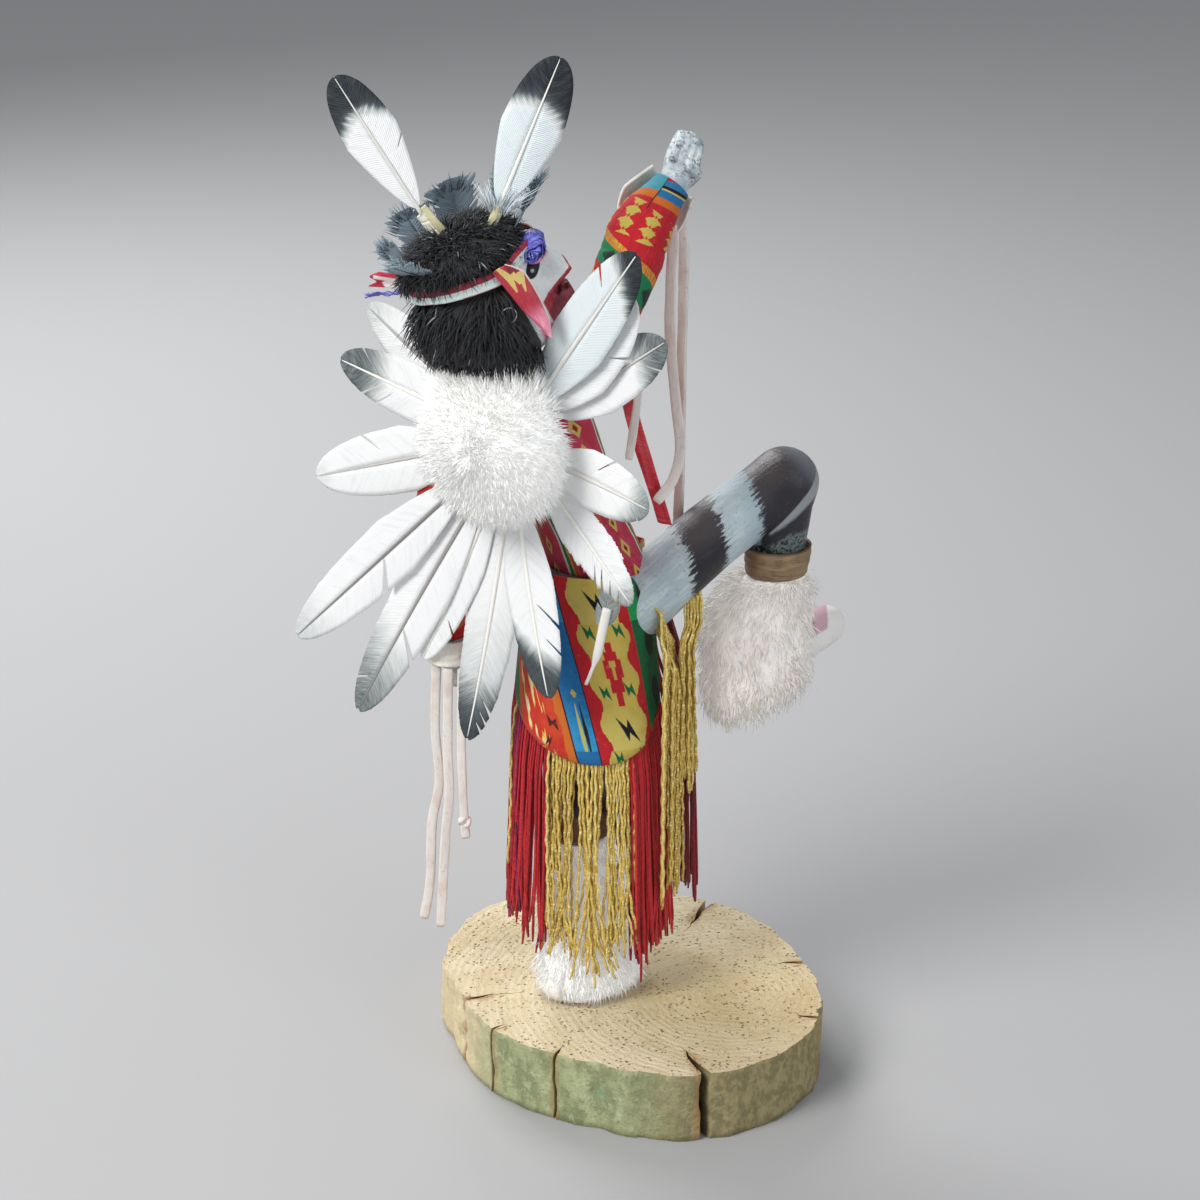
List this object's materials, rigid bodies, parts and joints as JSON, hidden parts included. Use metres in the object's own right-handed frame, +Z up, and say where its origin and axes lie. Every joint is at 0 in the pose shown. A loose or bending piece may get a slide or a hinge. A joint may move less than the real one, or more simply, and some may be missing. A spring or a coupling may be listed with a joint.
{
  "type": "kachina doll",
  "caption": "Carved wooden dancing figure in a case mask, with one arm and knee raised, dressed in feathers, fur, cloth and fringe, on a slice of tree trunk.",
  "frame": {"origin": "centre of the underside of the wooden slice, where it rests on a table", "axes": "+Z up, the figure faces -Y, its right hand side is -X"},
  "size_m": [0.1679, 0.1481, 0.3386],
  "materials": {
    "base_wood": "bare cut wood, sawn face and bark-free weathered rim",
    "painted_wood": "carved root wood under matt brushed paint",
    "white_feather": "natural barbs, dark grey tips",
    "dyed_feather": "clipped dyed barbs",
    "white_fur": "soft undyed fur",
    "black_fur": "soft black fur",
    "printed_cloth": "printed cotton, matt",
    "band_cloth": "thin cloth, matt",
    "brow_ribbon": "frayed ribbon",
    "red_ribbon": "woven ribbon, slight sheen",
    "red_yarn": "twisted rayon yarn, slight sheen",
    "dark_red_yarn": "twisted rayon yarn",
    "gold_yarn": "metallic wrapped yarn",
    "white_leather": "soft split leather",
    "tan_leather": "smooth leather"
  },
  "bodies": {
    "root": {"brow_tuft": "brow_ribbon", "carved_figure": "painted_wood", "cheek_ribbon": "printed_cloth", "crest_feather_left": "white_feather", "crest_feather_right": "white_feather", "crest_wrap_left": "white_leather", "crest_wrap_right": "white_leather", "cuff_lowered": "white_leather", "cuff_raised": "white_leather", "fringe_back_gold": "gold_yarn", "fringe_front_red": "dark_red_yarn", "fringe_left_red": "red_yarn", "fringe_right_red": "red_yarn", "fringe_side_gold": "gold_yarn", "fur_boot_raised": "white_fur", "fur_boot_standing": "white_fur", "fur_crown": "black_fur", "fur_puff": "white_fur", "hair": "black_fur", "hanging_feather": "white_feather", "headband": "band_cloth", "headband_tails": "band_cloth", "kilt_back": "printed_cloth", "kilt_front": "printed_cloth", "knee_band_raised": "tan_leather", "knee_band_standing": "tan_leather", "rosette_feather_01": "white_feather", "rosette_feather_02": "white_feather", "rosette_feather_03": "white_feather", "rosette_feather_04": "white_feather", "rosette_feather_05": "white_feather", "rosette_feather_06": "white_feather", "rosette_feather_07": "white_feather", "rosette_feather_08": "white_feather", "rosette_feather_09": "white_feather", "rosette_feather_10": "white_feather", "rosette_feather_11": "white_feather", "rosette_feather_12": "white_feather", "rosette_feather_13": "white_feather", "ruff_feather_1": "dyed_feather", "ruff_feather_2": "dyed_feather", "ruff_feather_3": "dyed_feather", "ruff_feather_4": "dyed_feather", "ruff_feather_5": "dyed_feather", "ruff_feather_6": "dyed_feather", "sash_ribbon": "red_ribbon", "shirt": "printed_cloth", "sleeve_lowered": "printed_cloth", "sleeve_raised": "printed_cloth", "thong_lowered_1": "white_leather", "thong_lowered_2": "white_leather", "thong_lowered_3": "white_leather", "thong_raised_long": "white_leather", "thong_raised_short": "white_leather", "thong_shoulder": "white_leather", "wood_base": "base_wood"}
  },
  "joints": []
}
